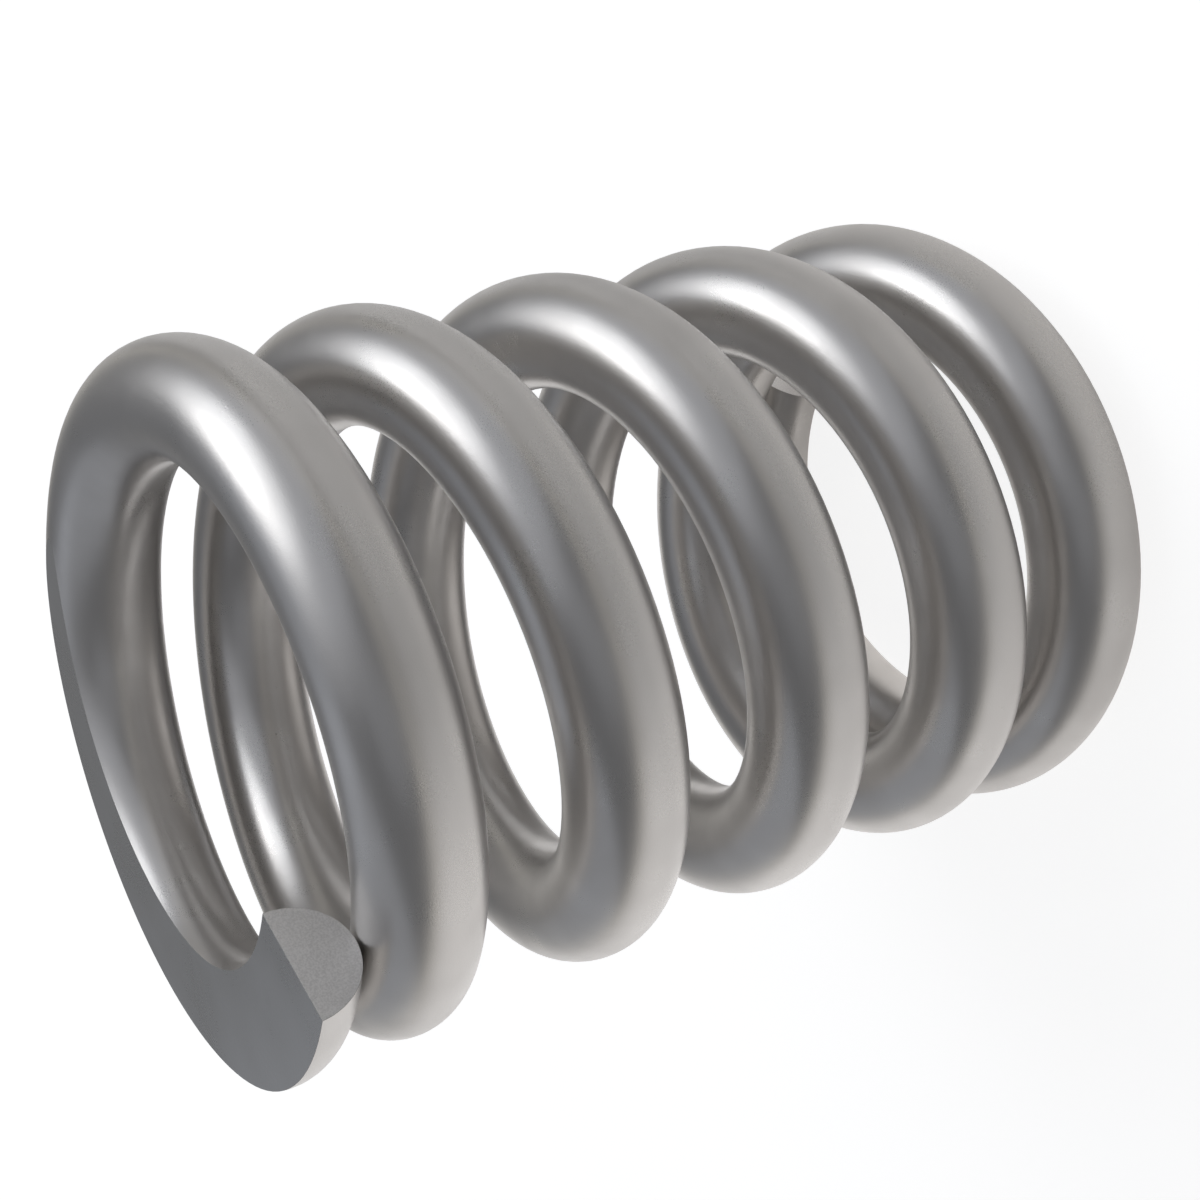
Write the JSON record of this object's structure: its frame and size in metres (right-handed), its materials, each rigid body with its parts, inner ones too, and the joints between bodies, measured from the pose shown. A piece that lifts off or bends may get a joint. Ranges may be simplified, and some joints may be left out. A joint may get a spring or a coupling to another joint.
{
  "type": "compression spring",
  "caption": "Helical compression spring of round steel wire, with open active coils between closed ends that are ground flat.",
  "frame": {"origin": "on the coil's axis, in the plane of the lower ground face", "axes": "+Z along the coil's axis, from the lower ground face to the upper one; +X through the wire's lower cut end"},
  "size_m": [0.024, 0.024, 0.0338],
  "materials": {
    "spring_steel": "satin drawn wire, with finely ground end faces"
  },
  "bodies": {
    "root": {"compression_spring": "spring_steel"}
  },
  "joints": []
}
